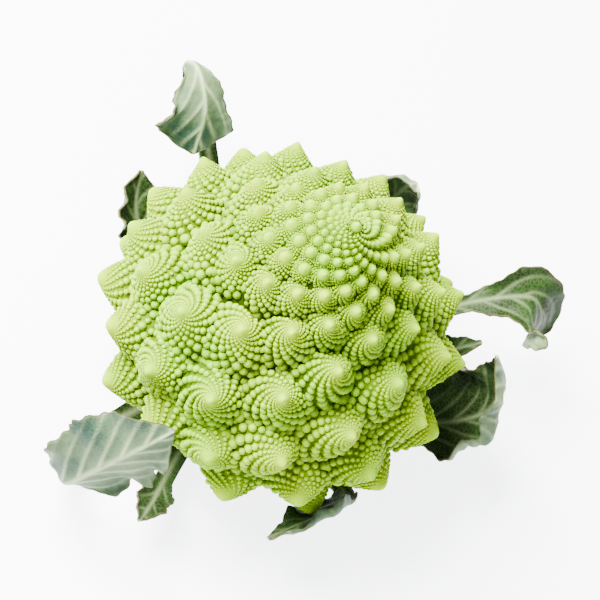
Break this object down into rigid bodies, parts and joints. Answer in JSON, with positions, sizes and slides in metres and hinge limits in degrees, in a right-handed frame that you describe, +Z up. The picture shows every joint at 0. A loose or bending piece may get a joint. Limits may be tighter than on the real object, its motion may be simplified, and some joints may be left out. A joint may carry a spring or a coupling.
{
  "type": "romanesco head",
  "caption": "Romanesco head standing on its cut stump: a dome of pointed florets set in spirals, with the ends of curled wrapper leaves around its foot.",
  "frame": {"origin": "centre of the stump's cut face", "axes": "+Z up along the head from the cut face to the tip, -Y towards the side seen in the picture"},
  "size_m": [0.2147, 0.2344, 0.165],
  "materials": {
    "curd": "fresh lime green plant tissue, satin, paler at the floret tips and darker green in the gaps",
    "stem": "pale green skin with a freshly cut, whitish face",
    "leaf": "waxy leaf, dark green above and pale grey green below, with whitish veins"
  },
  "bodies": {
    "root": {"head": "curd", "stump": "stem", "leaf_front_left": "leaf", "leaf_front_small": "leaf", "leaf_front_right": "leaf", "leaf_right_low": "leaf", "leaf_right_small": "leaf", "leaf_right": "leaf", "leaf_back_right": "leaf", "leaf_back_left": "leaf", "leaf_left_small": "leaf"}
  },
  "joints": []
}
